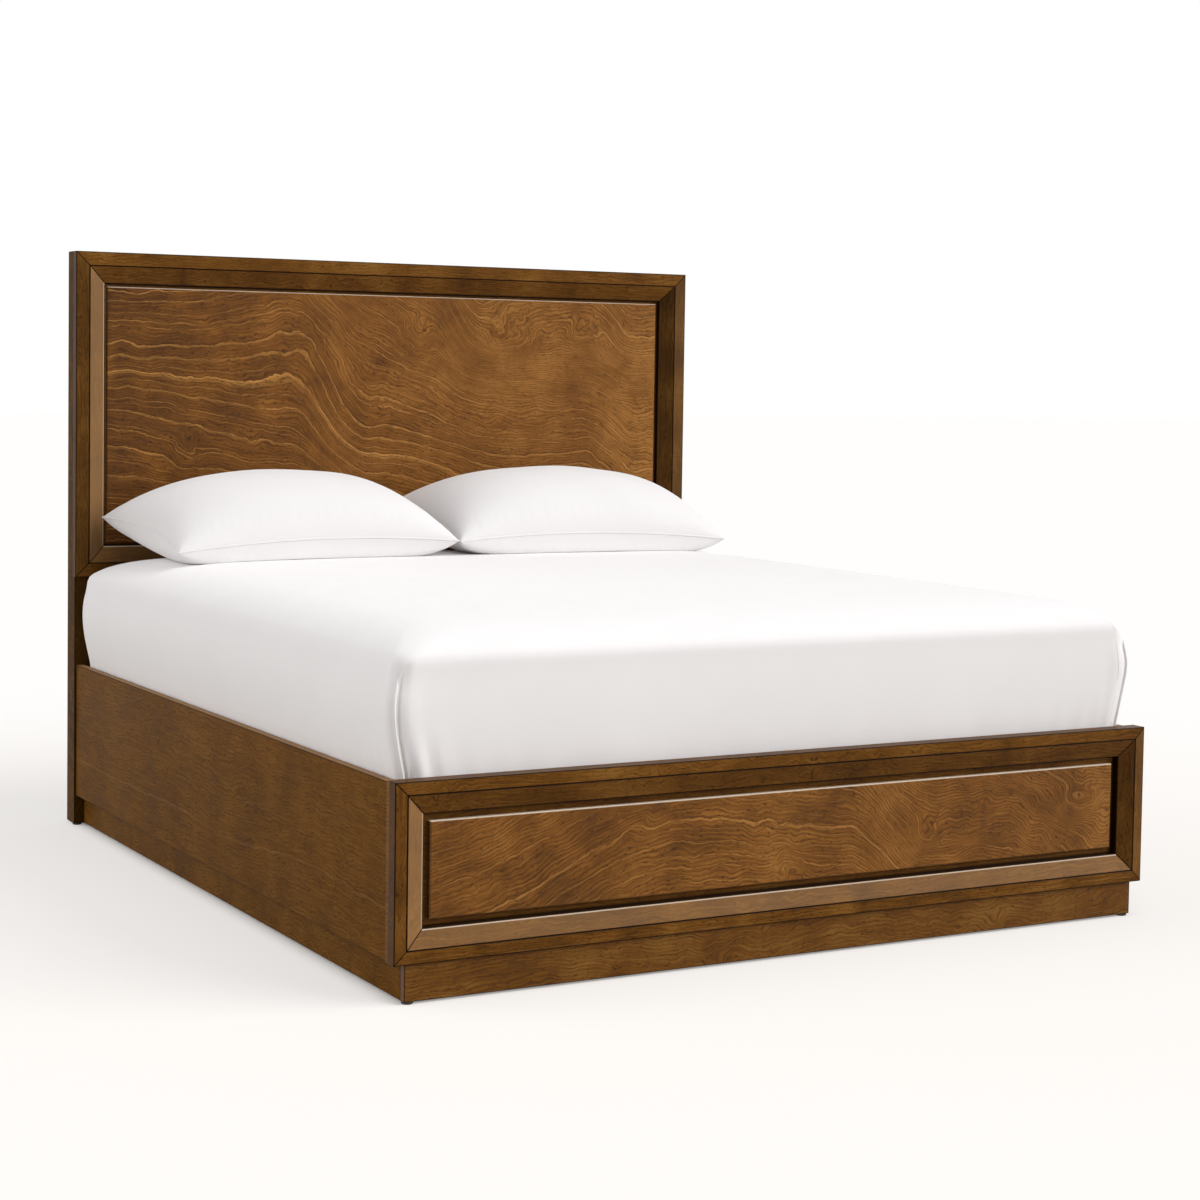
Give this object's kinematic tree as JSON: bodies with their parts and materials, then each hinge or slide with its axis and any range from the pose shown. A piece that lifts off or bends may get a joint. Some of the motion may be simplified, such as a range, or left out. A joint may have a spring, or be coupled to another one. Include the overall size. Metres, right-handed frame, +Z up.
{
  "type": "bed",
  "caption": "Panelled wooden platform bed with tall headboard, low footboard, slatted base, mattress with fitted sheet and pillows.",
  "frame": {"origin": "on the floor, at the centre of the bed's outline seen from above", "axes": "+X across the bed to the right of someone at its foot who faces the headboard, +Y to the headboard, +Z up"},
  "size_m": [1.86, 2.12, 1.516],
  "materials": {
    "frame_wood": "brown stained solid wood under satin lacquer",
    "veneer": "brown stained figured birch veneer under satin lacquer",
    "panel_board": "brown stained plywood, satin lacquer",
    "slat_wood": "planed unfinished softwood",
    "plated_steel": "zinc plated",
    "glide_plastic": "matt",
    "mattress_filling": "knitted ticking over foam",
    "sheet_cotton": "smooth cotton percale",
    "pillow_filling": "soft fibre in ticking",
    "pillowcase_cotton": "smooth cotton percale"
  },
  "bodies": {
    "bed_frame": {"headboard_post_left": "frame_wood", "headboard_post_right": "frame_wood", "side_rail_left": "frame_wood", "side_rail_right": "frame_wood", "plinth_left": "frame_wood", "plinth_right": "frame_wood", "plinth_front": "frame_wood", "headboard_moulding_top": "frame_wood", "headboard_moulding_bottom": "frame_wood", "headboard_moulding_left": "frame_wood", "headboard_moulding_right": "frame_wood", "footboard_moulding_top": "frame_wood", "footboard_moulding_bottom": "frame_wood", "footboard_moulding_left": "frame_wood", "footboard_moulding_right": "frame_wood", "headboard_field_panel": "veneer", "footboard_field_panel": "veneer", "headboard_back_panel": "panel_board", "footboard_back_panel": "panel_board", "headboard_top_brace": "panel_board", "headboard_lower_brace": "panel_board", "headboard_base_rail": "panel_board", "slat_01": "slat_wood", "slat_02": "slat_wood", "slat_03": "slat_wood", "slat_04": "slat_wood", "slat_05": "slat_wood", "slat_06": "slat_wood", "slat_07": "slat_wood", "slat_08": "slat_wood", "slat_09": "slat_wood", "slat_10": "slat_wood", "slat_11": "slat_wood", "slat_12": "slat_wood", "slat_ledger_left": "slat_wood", "slat_ledger_right": "slat_wood", "plinth_batten_left": "slat_wood", "plinth_batten_right": "slat_wood", "plinth_corner_blocks": "slat_wood", "centre_beam": "slat_wood", "centre_leg_foot": "slat_wood", "centre_leg_head": "slat_wood", "beam_brackets": "plated_steel", "hook_plates": "plated_steel", "slot_plates": "plated_steel", "leg_inserts": "plated_steel", "leg_bolts": "plated_steel", "plate_screws": "plated_steel", "slat_screws": "plated_steel", "ledger_screws": "plated_steel", "floor_glides": "glide_plastic"},
    "mattress": {"mattress_core": "mattress_filling", "mattress_comfort_layer": "mattress_filling", "fitted_sheet": "sheet_cotton"},
    "pillow_left_body": {"pillow_left": "pillow_filling", "pillowcase_left": "pillowcase_cotton"},
    "pillow_right_body": {"pillow_right": "pillow_filling", "pillowcase_right": "pillowcase_cotton"},
    "leg_screw_foot": {"leg_adjuster_foot": "plated_steel"},
    "leg_screw_head": {"leg_adjuster_head": "plated_steel"}
  },
  "joints": [
    {"name": "mattress_lift", "type": "slide", "parent": "bed_frame", "child": "mattress", "axis": [0, 0, 1], "range_m": [0, 0.35]},
    {"name": "pillow_left_lift", "type": "slide", "parent": "mattress", "child": "pillow_left_body", "axis": [0, 0, 1], "range_m": [0, 0.3]},
    {"name": "pillow_right_lift", "type": "slide", "parent": "mattress", "child": "pillow_right_body", "axis": [0, 0, 1], "range_m": [0, 0.3]},
    {"name": "leg_screw_foot_travel", "type": "slide", "parent": "bed_frame", "child": "leg_screw_foot", "axis": [0, 0, 1], "range_m": [0, 0.015]},
    {"name": "leg_screw_head_travel", "type": "slide", "parent": "bed_frame", "child": "leg_screw_head", "axis": [0, 0, 1], "range_m": [0, 0.015]}
  ]
}
